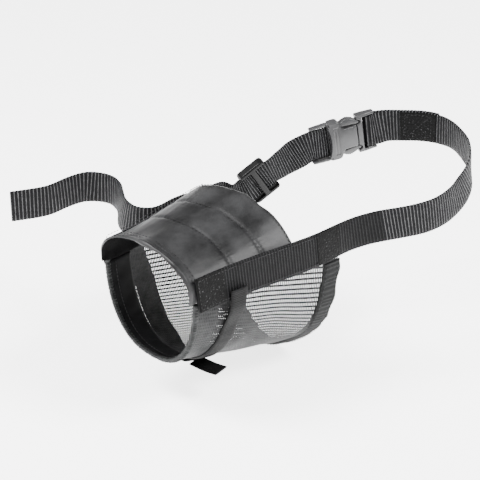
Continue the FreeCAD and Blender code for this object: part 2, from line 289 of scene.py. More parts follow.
def webbing(name, dark, light, pitch, fine):
    """Ribbed nylon webbing: broad ribs across, fine yarns along, painted highlight only on the rib tops."""
    m = Nodes(name)
    u, v = m.uv()
    rib = m.wave(u, pitch, math.pi / 2)
    row = m.math("FLOOR", m.math("DIVIDE", u, pitch))
    shifted = m.math("MULTIPLY_ADD", row, fine * 0.5, v)
    yarn = m.wave(shifted, fine)
    fleck = m.noise(900.0, 2.0)
    h = m.math("MULTIPLY_ADD", yarn, 0.55, m.math("MULTIPLY", rib, 0.6))
    h = m.math("MULTIPLY_ADD", fleck, 0.35, h)
    # painted highlight: the colour is lightened on the rib tops, broken up by the yarns and a slow noise
    tone = m.math("MULTIPLY", m.math("POWER", rib, 3.0), m.math("MULTIPLY_ADD", yarn, 0.6, 0.4))
    tone = m.math("MULTIPLY", tone, m.math("MULTIPLY_ADD", m.noise(260.0), 0.7, 0.55))
    col = m.ramp(tone, [(0.0, dark), (0.35, [c * 1.6 for c in dark]), (1.0, light)])
    return m.done(Base_Color=col, Roughness=m.math("MULTIPLY_ADD", fleck, 0.2, 0.45),
                  Normal=m.bump(h, 0.75, 0.00035), Specular_IOR_Level=0.09)


def sewn_webbing(name, dark, light):
    """Webbing covered by dense lock stitches: flecked, with the ribs only hinted at."""
    m = Nodes(name)
    u = m.uv()[0]
    rib = m.wave(u, RIB, math.pi / 2)
    fleck = m.noise(820.0, 3.0, 0.65)
    knot = m.add("ShaderNodeTexVoronoi", 0, {"Vector": m.add("ShaderNodeTexCoord", 3), "Scale": 950.0})
    tone = m.math("MULTIPLY_ADD", rib, 0.12, m.math("MULTIPLY", m.math("SUBTRACT", 1.0, knot), fleck))
    col = m.ramp(tone, [(0.3, dark), (0.5, [c * 2.5 for c in dark]), (0.72, light)])
    h = m.math("MULTIPLY_ADD", knot, -0.8, m.math("MULTIPLY", fleck, 0.7))
    return m.done(Base_Color=col, Roughness=0.6, Normal=m.bump(h, 0.9, 0.0004),
                  Specular_IOR_Level=0.08)


def satin(name, base, light, rough, spec):
    """Fine twill satin nylon with soft mottled tone."""
    m = Nodes(name)
    u, v = m.uv()
    twill = m.wave(m.math("ADD", u, v), 0.62)
    warp = m.wave(u, 0.31)
    cloud = m.noise(48.0, 4.0)
    grain = m.noise(1500.0, 2.0)
    tone = m.math("MULTIPLY_ADD", cloud, 0.8, m.math("MULTIPLY", grain, 0.2))
    col = m.ramp(tone, [(0.36, base), (0.64, light)])
    h = m.math("MULTIPLY_ADD", twill, 0.5, m.math("MULTIPLY_ADD", warp, 0.3, m.math("MULTIPLY", grain, 0.4)))
    return m.done(Base_Color=col, Roughness=m.math("MULTIPLY_ADD", cloud, 0.2, rough),
                  Normal=m.bump(h, 0.3, 0.00012), Sheen_Weight=0.01, Sheen_Roughness=0.3,
                  Specular_IOR_Level=spec)


def plastic(name, base, light, rough, spec):
    """Moulded plastic with a fine spark-eroded texture and handling marks."""
    m = Nodes(name)
    fine = m.noise(2600.0, 2.0)
    broad = m.noise(90.0, 4.0, 0.6)
    col = m.ramp(broad, [(0.25, base), (0.8, light)])
    scratch = m.noise(700.0, 5.0, 0.7)
    r = m.math("MULTIPLY_ADD", scratch, 0.22, rough)
    return m.done(Base_Color=col, Roughness=r, Normal=m.bump(fine, 0.25, 0.00008), Specular_IOR_Level=spec,
                  Coat_Weight=0.08, Coat_Roughness=0.25)


def tape(name, dark, light, pitch):
    """Thin ribbed edge tape."""
    m = Nodes(name)
    u, v = m.uv()
    rib = m.wave(u, pitch)
    cross = m.wave(v, pitch * 0.8)
    mott = m.noise(240.0, 3.0)
    tone = m.math("MULTIPLY_ADD", rib, 0.35, m.math("MULTIPLY", mott, 0.75))
    col = m.ramp(tone, [(0.25, dark), (0.85, light)])
    h = m.math("MULTIPLY_ADD", rib, 0.6, m.math("MULTIPLY_ADD", cross, 0.3, m.math("MULTIPLY", mott, 0.5)))
    return m.done(Base_Color=col, Roughness=0.6, Normal=m.bump(h, 0.6, 0.0002), Sheen_Weight=0.01,
                  Specular_IOR_Level=0.1)


def yarn(name, dark, light, rough):
    """Twisted thread, for the net and the stitches."""
    m = Nodes(name)
    twist = m.noise(3000.0, 1.0)
    col = m.ramp(m.noise(180.0), [(0.3, dark), (0.8, light)])
    return m.done(Base_Color=col, Roughness=rough, Normal=m.bump(twist, 0.4, 0.0001), Sheen_Weight=0.01,
                  Specular_IOR_Level=0.12)


def pile(name, dark, light):
    """Dense loops of a hook-and-loop patch."""
    m = Nodes(name)
    loops = m.add("ShaderNodeTexVoronoi", 0, {"Vector": m.add("ShaderNodeTexCoord", 3), "Scale": 1300.0})
    col = m.ramp(loops, [(0.1, dark), (0.7, light)])
    return m.done(Base_Color=col, Roughness=0.85, Normal=m.bump(loops, 1.0, 0.0004), Sheen_Weight=0.01,
                  Specular_IOR_Level=0.06)


# the light colour of each webbing is its painted rib-top highlight
WEB = webbing("webbing_nylon", (0.003, 0.003, 0.0035), (0.2, 0.2, 0.205), RIB, 0.9)
# darker copy of the same webbing, with a dimmer rib highlight, for the near side strap's front part: painted
# shade
WEB_PAINTED_SHADE = webbing("webbing_nylon_painted_shade", (0.0018, 0.0018, 0.002), (0.042, 0.042, 0.044), RIB, 0.9)
WEB_SEWN = sewn_webbing("webbing_lock_stitched", (0.002, 0.002, 0.002), (0.13, 0.13, 0.134))
WEB_NARROW = webbing("webbing_narrow_nylon", (0.003, 0.003, 0.003), (0.018, 0.018, 0.019), 1.1, 0.6)
SATIN = satin("satin_cover", (0.002, 0.002, 0.0022), (0.026, 0.026, 0.027), 0.34, 0.3)
LINING = satin("satin_lining", (0.002, 0.002, 0.002), (0.005, 0.005, 0.0055), 0.5, 0.08)
PANEL_INSIDE = satin("panel_lining", (0.002, 0.002, 0.002), (0.009, 0.009, 0.0092), 0.95, 0.0)
BINDING = tape("binding_tape", (0.004, 0.004, 0.004), (0.045, 0.047, 0.047), 0.7)
BINDING_REAR = tape("binding_tape_rear", (0.003, 0.003, 0.003), (0.009, 0.0095, 0.0095), 0.7)
NET = yarn("net_yarn", (0.006, 0.006, 0.0065), (0.03, 0.031, 0.031), 0.5)
THREAD = yarn("sewing_thread", (0.008, 0.008, 0.008), (0.045, 0.045, 0.047), 0.45)
BUCKLE = plastic("buckle_plastic", (0.022, 0.022, 0.023), (0.042, 0.042, 0.044), 0.22, 0.5)
SLIDER = plastic("slider_plastic", (0.002, 0.002, 0.0022), (0.004, 0.004, 0.0042), 0.3, 0.12)
PILE = pile("hook_and_loop_pile", (0.003, 0.003, 0.003), (0.015, 0.015, 0.015))


# ---- mesh builders ----------------------------------------------------------------------------
def make(name, verts, faces, uvs, mat):
    """New piece from points in millimetres; faces are lists, or an array when all have four corners."""
    mesh = bpy.data.meshes.new(name)
    faces = faces.tolist() if isinstance(faces, np.ndarray) else faces
    mesh.from_pydata((np.asarray(verts) * MM).tolist(), [], faces)
    bm = bmesh.new()
    bm.from_mesh(mesh)
    bmesh.ops.recalc_face_normals(bm, faces=bm.faces)
    bm.to_mesh(mesh)
    bm.free()
    if uvs is not None:
        layer = mesh.uv_layers.new(name="UVMap")
        index = np.empty(len(mesh.loops), int)
        mesh.loops.foreach_get("vertex_index", index)
        layer.data.foreach_set("uv", np.asarray(uvs, np.float32)[index].ravel())
    mesh.polygons.foreach_set("use_smooth", [True] * len(mesh.polygons))
    mesh.materials.append(mat)
    obj = bpy.data.objects.new(name, mesh)
    bpy.context.scene.collection.objects.link(obj)
    return obj


def slab(name, outer, inner, uv, mat):
    """Closed sheet between two matching grids of points."""
    nu, nv = outer.shape[:2]
    i = np.arange(nu * nv).reshape(nu, nv)
    j = i + nu * nv
    faces = []
    for g in (i, j[::-1]):
        faces.append(np.stack([g[:-1, :-1], g[1:, :-1], g[1:, 1:], g[:-1, 1:]], -1).reshape(-1, 4))
    for a, b in ((i[0], j[0]), (i[-1], j[-1]), (i[:, 0], j[:, 0]), (i[:, -1], j[:, -1])):
        faces.append(np.stack([a[:-1], a[1:], b[1:], b[:-1]], -1))
    verts = np.concatenate([outer.reshape(-1, 3), inner.reshape(-1, 3)])
    uvs = np.concatenate([uv.reshape(-1, 2)] * 2)
    return make(name, verts, np.concatenate(faces), uvs, mat)


def lattice(name, outer, inner, kept, open_s, open_d, mat):
    """Net: every kept grid cell has a hole through it, leaving threads; two open shares, one each way."""
    nu, nv = outer.shape[:2]
    base = np.arange(nu * nv).reshape(nu, nv)
    c = np.stack([base[:-1, :-1], base[1:, :-1], base[1:, 1:], base[:-1, 1:]], -1)[kept]
    holes = []
    for grid in (outer, inner):
        q = grid.reshape(-1, 3)[c]
        mid = q.mean(1)
        es = (q[:, 1] + q[:, 2] - q[:, 0] - q[:, 3]) * open_s / 4.0
        ed = (q[:, 2] + q[:, 3] - q[:, 0] - q[:, 1]) * open_d / 4.0
        corners = [mid - es - ed, mid + es - ed, mid + es + ed, mid - es + ed]
        holes.append(np.stack(corners, 1).reshape(-1, 3))
    verts = np.concatenate([outer.reshape(-1, 3), holes[0], inner.reshape(-1, 3), holes[1]])
    c_in = c + nu * nv + len(c) * 4
    k = np.arange(len(c) * 4).reshape(-1, 4) + nu * nv
    k_in = k + nu * nv + len(c) * 4
    faces = []
    for e in range(4):
        f = (e + 1) % 4
        faces.append(np.stack([c[:, e], c[:, f], k[:, f], k[:, e]], -1))
        faces.append(np.stack([c_in[:, f], c_in[:, e], k_in[:, e], k_in[:, f]], -1))
        faces.append(np.stack([k[:, e], k[:, f], k_in[:, f], k_in[:, e]], -1))
    sides = {(a, b) for e in range(4) for a, b in zip(c[:, e].tolist(), c[:, (e + 1) % 4].tolist())}
    rim = np.array(sorted(s for s in sides if (s[1], s[0]) not in sides))
    rim_in = rim + nu * nv + len(c) * 4
    faces.append(np.stack([rim[:, 0], rim[:, 1], rim_in[:, 1], rim_in[:, 0]], -1))
    faces = np.concatenate(faces)
    used, packed = np.unique(faces, return_inverse=True)
    return make(name, verts[used], packed.reshape(faces.shape), None, mat)


ACROSS = np.array([-1, -0.985, -0.93, -0.8, -0.6, -0.4, -0.2, 0, 0.2, 0.4, 0.6, 0.8, 0.93, 0.985, 1])


def ribbon(name, track, u0, u1, mat, width=STRAP_W, thick=STRAP_T, pitch=1.9, amp=0.12, shift=None,
           curl=None, tilt=None, step=0.42):
    """Webbing along a track with raised ribs and soft edges.

    curl(u) bends its edges along its face, tilt(u) turns it about its length in degrees.
    """
    u = np.linspace(u0, u1, max(8, int((u1 - u0) / step)))
    p, t, w, n = track.at(u)
    if tilt is not None:
        a = np.radians(tilt(u))[:, None]
        w, n = w * np.cos(a) + n * np.sin(a), n * np.cos(a) - w * np.sin(a)
    if shift is not None:
        p = p + n * shift(u)[:, None]
    half = width / 2 + 0.10 * np.sin(u * 2 * np.pi / pitch)
    rib = amp * (0.5 + 0.5 * np.cos(u * 2 * np.pi / pitch))
    body = thick / 2 * (0.35 + 0.65 * (1 - np.abs(ACROSS) ** 10)) - amp * 0.5
    place = p[:, None] + w[:, None] * (ACROSS[None, :, None] * half[:, None, None])
    if curl is not None:
        place = place + n[:, None] * (curl(u)[:, None] * ACROSS[None, :] ** 2)[..., None]
    lift = body[None, :] + rib[:, None] * (1 - np.abs(ACROSS) ** 6)[None, :]
    lift = lift + 0.03 * noise(place, 3.0, 5)
    uv = np.stack(np.broadcast_arrays(u[:, None] * RIB / pitch, ACROSS[None, :] * width / 2), -1)
    lift = n[:, None] * lift[..., None]
    return slab(name, place + lift, place - lift, uv, mat)


# place along a stitch, radius share and height of each ring of its thread
STITCH_ROWS = ((0.0, 0.35, -0.16), (0.2, 0.95, 0.0), (0.5, 1.1, 0.05), (0.8, 0.95, 0.0), (1.0, 0.35, -0.16))


def stitches(name, path, normals, mat, pitch=2.6, radius=0.19, share=0.72):
    """Row of sewn stitches along points, each a small rounded thread."""
    d = np.r_[0, np.cumsum(np.linalg.norm(np.diff(path, axis=0), axis=1))]
    verts, faces = [], []
    ring = np.radians(np.arange(0, 360, 60))
    for a in np.arange(pitch * 0.2, d[-1] - pitch * share, pitch):
        ends = [np.array([np.interp(x, d, path[:, i]) for i in range(3)]) for x in (a, a + pitch * share)]
        nrm = np.array([np.interp(a, d, normals[:, i]) for i in range(3)])
        nrm /= np.linalg.norm(nrm)
        axis = ends[1] - ends[0]
        side = np.cross(axis / np.linalg.norm(axis), nrm)
        base = sum(len(v) for v in verts)
        rows = []
        for f, r, dip in STITCH_ROWS:
            c = ends[0] + axis * f + nrm * (dip + radius * 0.4)
            rows.append(c + (np.cos(ring)[:, None] * side + np.sin(ring)[:, None] * nrm) * radius * r)
        verts.append(np.concatenate(rows))
        for k in range(4):
            for m in range(6):
                q = (m + 1) % 6
                faces.append([base + k * 6 + m, base + k * 6 + q, base + k * 6 + 6 + q, base + k * 6 + 6 + m])
        faces.append([base + m for m in range(3)] + [base + 3])
        faces.append([base + 3, base + 4, base + 5, base])
        faces.append([base + 24 + m for m in range(3)] + [base + 27])
        faces.append([base + 27, base + 28, base + 29, base + 24])
    return make(name, np.concatenate(verts), faces, None, mat)


def join(name, objs):
    """One object from several, under a new name."""
    bpy.ops.object.select_all(action="DESELECT")
    for o in objs:
        o.select_set(True)
    bpy.context.view_layer.objects.active = objs[0]
    bpy.ops.object.join()
    objs[0].name = name
    return objs[0]


# ---- padded top panel -------------------------------------------------------------------------
SEAMS = (29.5, 50.5)
HEM_ROWS = (1.2, 3.6, 68.8)
S0, S1 = -3.0, PANEL_LEN
FRONT_ROWS = [S0, S0 + 0.35, S0 + 0.8, S0 + 1.4]
PS = np.concatenate([FRONT_ROWS, np.linspace(S0 + 2.1, S1 - 1.4, 58), [S1 - 0.7, S1]])
PD = np.linspace(-4.0, 184.0, 104)
SG, DG = np.meshgrid(PS, PD, indexing="ij")
PUFF_CAP = 1.3 * MM


def seam_dip(s, marks, wide):
    """Sum of bell shapes, 1 high, at the marked stations."""
    return sum(np.exp(-((s - m) / wide) ** 2) for m in marks)


lip = ramp((4.0 - SG) / 7.0)
pinch = seam_dip(SG, SEAMS, 1.3)
edge_roll = 1.5 * seam_dip(SG, (S0,), 0.7) + 0.55 * seam_dip(SG, (S0 + 2.6,), 0.7)
edge_roll = edge_roll + 1.2 * seam_dip(SG, (S1,), 1.1)
out_off = -0.25 - 0.75 * pinch - edge_roll + 0.9 * lip
in_off = -3.3 + 0.5 * pinch + edge_roll * 0.8 + 0.9 * lip
panel = slab("padded_top_panel", wall(SG, DG, out_off), wall(SG, DG, in_off),
             np.stack([SG, DG * 0.7], -1), SATIN)
rest = np.array([v.co for v in panel.data.vertices])
pins = panel.vertex_groups.new(name="sewn")
sewn = (seam_dip(SG, SEAMS, 0.9) > 0.4) | (SG < S0 + 0.6) | (SG > S1 - 0.6)
sewn |= (DG < 6) | (DG > 174) | (np.abs(SG - 3.0) < 0.7)
sewn = np.concatenate([sewn.ravel(), sewn.ravel()])
pins.add([int(k) for k in np.nonzero(sewn)[0]], 1.0, "REPLACE")
cloth = panel.modifiers.new("cloth", "CLOTH")
cloth.settings.quality = 5
cloth.settings.use_pressure = True
cloth.settings.uniform_pressure_force = 4.0
cloth.settings.effector_weights.gravity = 0.0
cloth.settings.vertex_group_mass = "sewn"
cloth.settings.tension_stiffness = 8.0
cloth.settings.compression_stiffness = 4.0
cloth.settings.bending_stiffness = 0.3
cloth.settings.mass = 0.1
cloth.collision_settings.use_collision = False
for f in range(1, 21):
    bpy.context.scene.frame_set(f)
dep = bpy.context.evaluated_depsgraph_get()
moved = np.array([v.co for v in panel.evaluated_get(dep).data.vertices])
panel.modifiers.clear()
bpy.context.scene.frame_set(1)
step = moved - rest
size = np.linalg.norm(step, axis=1, keepdims=True)
step *= np.minimum(1.0, PUFF_CAP / np.maximum(size, 1e-9))
panel.data.vertices.foreach_set("co", (rest + step).ravel())
co = np.array([v.co for v in panel.data.vertices]) / MM
nrm = np.array([v.normal for v in panel.data.vertices])
sv = np.concatenate([SG.ravel(), SG.ravel()])
dv = np.concatenate([DG.ravel(), DG.ravel()])
near_seam = seam_dip(sv, SEAMS, 4.0)
drag = 0.16 * near_seam * np.sin(dv * 1.9 + 1.5 * np.sin(dv * 0.31))
drag = drag + 0.6 * noise(co * [0.6, 1.0, 1.0], 24.0, 3) + 0.10 * noise(co * [0.35, 1.0, 1.0], 7.0, 9)
co += nrm * drag[:, None]
panel.data.vertices.foreach_set("co", (co * MM).ravel())
panel.data.materials.append(PANEL_INSIDE)
for poly in panel.data.polygons:
    poly.material_index = int(min(poly.vertices) >= SG.size)
sub = panel.modifiers.new("smooth", "SUBSURF")
sub.levels = sub.render_levels = 1
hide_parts("top_panel_cover", "top_panel_foam", "top_panel_lining", "panel_front_hem",
            "panel_rear_hem", "panel_seam_1", "panel_seam_2")
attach(panel, "muzzle")
rows = []
for number, station in enumerate(SEAMS + HEM_ROWS):
    d = np.linspace(8, 172, 120)
    line = wall(station, d, -0.75 if station in SEAMS else 0.15)
    rows.append(stitches("seam_row_%d" % number, line, line - wall(station, d, -3.0), THREAD))
seam_rows = join("panel_stitching", rows)
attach(seam_rows, "muzzle")

# ---- net body and nose band ----------------------------------------------------------------------
NET_PITCH_S = 1.3           # cross threads, along the body
NET_PITCH_DEG = 2.45        # long threads, round the wall
NET_FRONT = 2.4             # first station of the net
NET_BACK = 2.0              # net's end ahead of the rear edge
NET_LOW, NET_HIGH = 182.6, 357.4
NET_T = 0.16
OPEN_S, OPEN_D = 0.32, 0.6
GRAIN_TURN = 0.2            # degrees by which the long threads turn per millimetre
s_row = np.arange(NET_FRONT, 108.0, NET_PITCH_S)[:, None]
d_row = np.arange(128.0, 412.0, NET_PITCH_DEG)[None, :]
s_net = s_row + 0 * d_row
deg_net = d_row + GRAIN_TURN * (s_net - NET_FRONT) * np.cos(np.radians(np.clip(d_row, 180, 360) - 180))
room = (deg_net > NET_LOW) & (deg_net < NET_HIGH)
room &= s_net < rear_edge(np.clip(deg_net, NET_LOW, NET_HIGH)) - NET_BACK
kept = room[:-1, :-1] & room[1:, :-1] & room[1:, 1:] & room[:-1, 1:]
deg_net = np.clip(deg_net, NET_LOW - 3, NET_HIGH + 3)
sag = -0.5 * np.sin(np.pi * np.clip((s_net - 34) / 58, 0, 1)) ** 2
fade = np.clip((s_net - 22) / 20, 0, 1) * np.clip((98 - s_net) / 10, 0, 1)
sag = sag + rear_fullness(s_net, deg_net) + 0.45 * noise(wall(s_net, deg_net), 32.0, 11) * fade
net = lattice("net_skin", wall(s_net, deg_net, sag), wall(s_net, deg_net, sag - NET_T), kept, OPEN_S, OPEN_D,
              NET)
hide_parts("net_body", "nose_band_outer")
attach(net, "muzzle")
ring = np.linspace(NET_LOW, NET_HIGH, 90)
net_w = np.linalg.norm(np.diff(wall(60.0, ring), axis=0), axis=1).sum() * MM

d = np.linspace(185.2, 354.8, 90)
s = np.linspace(2.2, 18.2, 16)
sg, dg = np.meshgrid(s, d, indexing="ij")
fold = 0.25 * noise(wall(sg, dg), 9.0, 21) + 0.18 * np.sin(dg * 0.9) * np.exp(-((sg - 14.5) / 3.0) ** 2)
band = slab("nose_band_satin", wall(sg, dg, -0.75 + fold * 0.3), wall(sg, dg, -1.4 + fold),
            np.stack([sg, dg * 0.7], -1), LINING)
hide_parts("nose_band_lining")
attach(band, "muzzle")
band_flat = np.linalg.norm(np.diff(wall(10.0, d), axis=0), axis=1).sum() * MM
line = wall(6.5, d, -1.75)
band_row = stitches("nose_band_stitching", line, wall(6.5, d, -4.0) - line, THREAD, pitch=2.2)
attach(band_row, "muzzle")


def edge_tape(name, s_of, d, wide, out0, out1, mat, pucker, seed, columns=15, wave=0.0):
    """Tape folded over an edge: a flattened U in section, drawn in by its stitches."""
    a = np.linspace(0, 2 * np.pi, columns)[:-1]
    shape_s = np.sign(np.cos(a)) * np.abs(np.cos(a)) ** 0.6
    shape_n = np.sign(np.sin(a)) * np.abs(np.sin(a)) ** 0.75
    dd, aa = np.meshgrid(d, np.arange(len(a)), indexing="ij")
    s0 = s_of(dd)
    mid, half = (out0 + out1) / 2, (out1 - out0) / 2
    wob = 1.0 + pucker * np.sin(dd * 3.1 + 1.3 * np.sin(dd * 0.7)) * 0.5
    s = s0 + wide / 2 * (1 + shape_s[aa])
    s = s + wave * (0.5 + 0.5 * shape_s[aa]) * np.sin(dd * 0.62 + 1.2 * np.sin(dd * 0.17))
    off = mid + half * shape_n[aa] * wob + rear_fullness(s, dd)
    p = wall(s, dd, off)
    p = p + 0.12 * pucker * noise(p, 2.6, seed)[..., None]
    nu, nv = dd.shape
    i = np.arange(nu * nv).reshape(nu, nv)
    beside = np.roll(i, -1, 1)
    sides = np.stack([i[:-1], i[1:], beside[1:], beside[:-1]], -1).reshape(-1, 4)
    arc = np.r_[0, np.cumsum(np.linalg.norm(np.diff(wall(s0[:, 0], d), axis=0), axis=1))]
    uv = np.stack(np.broadcast_arrays(arc[:, None], aa * wide / 6.0), -1).reshape(-1, 2)
    faces = sides.tolist() + [i[0].tolist(), i[-1][::-1].tolist()]
    return make(name, p.reshape(-1, 3), faces, uv, mat)


front = edge_tape("front_edge_tape", lambda q: 0 * q, np.linspace(184.0, 356.0, 420), 3.0, -1.7, 0.9,
                  BINDING, 0.55, 31)
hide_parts("front_binding")
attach(front, "muzzle")
REAR_TAPE_W = 13.0
rear = edge_tape("rear_edge_tape", lambda q: rear_edge(q) - REAR_TAPE_W, np.linspace(188.6, 351.4, 420),
                 REAR_TAPE_W, -1.3, 0.9, BINDING_REAR, 0.3, 37, 31, wave=0.7)
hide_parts("rear_binding_outer", "rear_binding_lining")
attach(rear, "muzzle")
d = np.linspace(190, 350, 160)
rows = []
for back in (2.0, 11.2):
    station = rear_edge(d) - back
    line = wall(station, d, 0.95 + rear_fullness(station, d))
    rows.append(stitches("rear_row", line, line - wall(station, d, -2.0), THREAD, pitch=2.4))
rear_rows = join("rear_tape_stitching", rows)
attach(rear_rows, "muzzle")

# ---- straps -----------------------------------------------------------------------------------
near, far, tail = Track(NEAR_ROWS), Track(FAR_ROWS), Track(TAIL_ROWS)
CUT_U = near.u[6] + 5.0
BAR_U = near.end
FOLD_LIFT = 1.62        # between the centre lines of two layers of webbing
# the near side strap's front part takes the darker copy of the webbing, as painted shade
strap = ribbon("webbing_near_front", near, 0.3, CUT_U + 0.15, WEB_PAINTED_SHADE)
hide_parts("near_side_strap", "near_neck_strap")
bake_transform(strap)


def to_bar(u):
    """The long strap moves forward of the plug bar."""
    return -BAR_CLEAR * ramp((u - (BAR_U - JOIN)) / (JOIN - 6.0))


def behind_bar(u):
    """The fold lies on the long strap, then moves behind the plug bar."""
    k = ramp((u - (BAR_U - JOIN)) / (JOIN - 6.0))
    return FOLD_LIFT * (1 - k) + BAR_CLEAR * k


loop = ribbon("webbing_near_loop", near, CUT_U - 0.1, BAR_U - 1.0, WEB, shift=to_bar)
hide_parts("near_loop_strap")
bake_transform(loop)
fold_back = ribbon("webbing_fold_layer", near, BAR_U - 44.0, BAR_U - 1.0, WEB, shift=behind_bar)
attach(fold_back, "plug_half")
p, t, w, n = near.at(np.array([BAR_U - 1.0]))
p, t, w, n = p[0], t[0], w[0], n[0]
a = np.linspace(-np.pi / 2, np.pi / 2, 26)
centre = p[None] + t * (BAR_CLEAR * np.cos(a))[:, None] + n * (BAR_CLEAR * np.sin(a))[:, None]
normal = t * np.cos(a)[:, None] + n * np.sin(a)[:, None]
ribs = 0.10 * np.cos(a * BAR_CLEAR / RIB * 2 * np.pi)
place = centre[:, None] + w * (ACROSS * STRAP_W / 2)[None, :, None]
lift = 0.66 + ribs[:, None] + 0 * ACROSS[None]
uv = np.stack(np.broadcast_arrays((a * BAR_CLEAR)[:, None], ACROSS[None] * STRAP_W / 2), -1)
turn = slab("webbing_bar_turn", place + normal[:, None] * lift[..., None], place - normal[:, None] * 0.66, uv,
            WEB)
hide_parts("plug_strap_fold")
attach(turn, "plug_half")


def through_slider(u):
    """The webbing dips behind the slider's middle bar."""
    x = u - far.u[8]
    return -0.55 * np.exp(-(x / 4.0) ** 2)


def hug(u):
    """The far side strap bends in over the panel and the net along the body."""
    return 2.6 * (1.0 - ramp((u - 68.0) / 18.0))


def turn_in(u):
    """Extra turn of the strap's top edge towards the body, between the panel and the slider."""
    return 24.0 * ramp((u - 66.0) / 22.0) * ramp((far.u[7] - 1.5 - u) / 9.0)


far_strap = ribbon("webbing_far", far, 0.3, far.end + 2.4, WEB, shift=through_slider, curl=hug,
                   tilt=turn_in, pitch=1.6, step=0.36)
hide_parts("far_side_strap", "far_neck_strap")
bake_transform(far_strap)
TAIL_DROP = 7.5         # how far the loose end starts below its waypoints
tail.p[:, 2] -= TAIL_DROP * (1.0 - ramp(tail.u / 42.0))
tail = Track(np.c_[tail.p, tail.l])
tail_strap = ribbon("webbing_loose_end", tail, 5.0, tail.end, WEB, pitch=2.3)
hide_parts("strap_tail")
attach(tail_strap, "loose_end")


def on_strap(track, u, across, lift):
    """Points and outward directions on a strap's face; the sign of lift says which face."""
    p, t, w, n = track.at(np.asarray(u, float))
    return p + w * np.asarray(across, float)[..., None] + n * lift, n * np.sign(lift)


def sewn_path(name, track, corners, lift):
    """Stitches along a polyline given in strap coordinates (along, across)."""
    us, vs = [], []
    for (a0, b0), (a1, b1) in zip(corners, corners[1:]):
        k = np.linspace(0, 1, 14)
        us.append(a0 + (a1 - a0) * k)
        vs.append(b0 + (b1 - b0) * k)
    p, n = on_strap(track, np.concatenate(us), np.concatenate(vs), lift)
    keep = np.r_[True, np.linalg.norm(np.diff(p, axis=0), axis=1) > 1e-6]
    return stitches(name, p[keep], n[keep], THREAD, pitch=2.3)


def sewn_box(name, track, u0, u1, lift):
    """Stitched rectangle with both diagonals."""
    box = [(u0, -8), (u1, -8), (u1, 8), (u0, 8), (u0, -8), (u1, 8)]
    cross = sewn_path(name + "_x", track, [(u0, 8), (u1, -8)], lift)
    return join(name, [sewn_path(name, track, box, lift), cross])


plug_box = sewn_box("plug_box_stitching", near, BAR_U - 40.0, BAR_U - 24.0, -0.80)
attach(plug_box, "plug_half")


def patch(name, track, u0, u1, lift):
    """Dense lock stitching over the webbing face, as a thin raised layer."""
    return ribbon(name, track, u0, u1, WEB_SEWN, width=19.2, thick=0.5, amp=0.06,
                  shift=lambda u: lift + 0 * u, step=0.9)


front_patch = patch("near_front_lock_stitching", near, 0.6, 20.0, 0.72)
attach(front_patch, "muzzle")
rear_patch = patch("near_rear_lock_stitching", near, 84.0, 101.0, 0.72)
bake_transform(rear_patch)
fold_patch = patch("fold_lock_stitching", near, BAR_U - 43.0, BAR_U - 21.0, -0.72)
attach(fold_patch, "plug_half")
ROW_V = 8.2             # stitch rows from the strap's centre line
rows = []
for track, sign in ((near, 1.0), (far, -1.0)):
    lift = 0.80 * sign
    u_end = track.u[4] - 2.0
    for v in (-ROW_V, ROW_V):
        rows.append(sewn_path("side_row", track, [(1.5, v), (u_end, v)], lift))
    rows.append(sewn_path("side_row", track, [(1.5, -ROW_V), (1.5, ROW_V)], lift))
side_rows = join("side_strap_stitching", rows)
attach(side_rows, "muzzle")


# ---- chin strap ---------------------------------------------------------------------------------
def side_clear(s, deg):
    """Extra offset that carries the chin strap over the side strap's lower edge."""
    y, z = outline(s, deg)
    return np.where(y > 0, FAR_CLEAR, NEAR_CLEAR) * ramp((z + 14.0) / 20.0)


def slant(deg):
    """The near chin strap runs a little forward on its way down."""
    lower = ramp((deg - 195.0) / 50.0) * ramp((290.0 - deg) / 20.0)
    return 1.5 - 4.0 * lower - 1.5 * ramp((deg - 270.0) / 20.0)


def chin(name, s0, s1, d0, d1, extra, mat, thick=1.15):
    """Chin strap round the lower wall between two stations and two angles; extra(deg) lifts it off."""
    d = np.linspace(d0, d1, 190)
    s = np.linspace(s0, s1, 13)
    sg, dg = np.meshgrid(s, d, indexing="ij")
    lo = 0.2 + side_clear(sg, dg) + extra(dg)
    sg = sg + slant(dg)
    edge = 1 - np.abs((s[:, None] - (s0 + s1) / 2) / ((s1 - s0) / 2)) ** 8
    rib = 0.06 * np.cos(dg * 0.72 * 2 * np.pi / 1.1)
    arc = np.r_[0, np.cumsum(np.linalg.norm(np.diff(wall((s0 + s1) / 2, d), axis=0), axis=1))]
    uv = np.stack(np.broadcast_arrays(arc[None, :], sg), -1)
    hi = lo + thick * (0.45 + 0.55 * edge) + rib
    return slab(name, wall(sg, dg, hi), wall(sg, dg, lo), uv, mat)


CHIN_TOP_DEG = float(edge_deg(CHIN_MID, CHIN_TOP_Z))
chin_near = chin("chin_strap_near_webbing", 21.0, 32.0, 180 + CHIN_TOP_DEG, 275.0, lambda q: 0 * q,
                 WEB_NARROW)
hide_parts("chin_strap_near")
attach(chin_near, "muzzle")
chin_far = chin("chin_strap_far_webbing", 20.5, 36.0, 262.0, 360 - CHIN_TOP_DEG,
                lambda q: 2.85 * ramp((292.0 - q) / 14.0), WEB_NARROW)
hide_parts("chin_strap_far")
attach(chin_far, "muzzle")
for node, lo in (("loop_patch", 1.5), ("hook_patch", 2.25)):
    s = np.linspace(21.0, 32.0, 30)
    d = np.linspace(262.5, 274.0, 30)
    sg, dg = np.meshgrid(s, d, indexing="ij")
    fuzz = 0.1 * noise(wall(sg, dg), 1.1, 41)
    piece = slab(node + "_pile", wall(sg, dg, lo + 0.5 + fuzz), wall(sg, dg, lo),
                 np.stack([sg, dg], -1), PILE)
    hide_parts(node)
    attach(piece, "muzzle")
TAB_HALF = 5.4
lo, hi = (np.array(c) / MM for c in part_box("chin_strap_tab"))
mid = (lo + hi) / 2
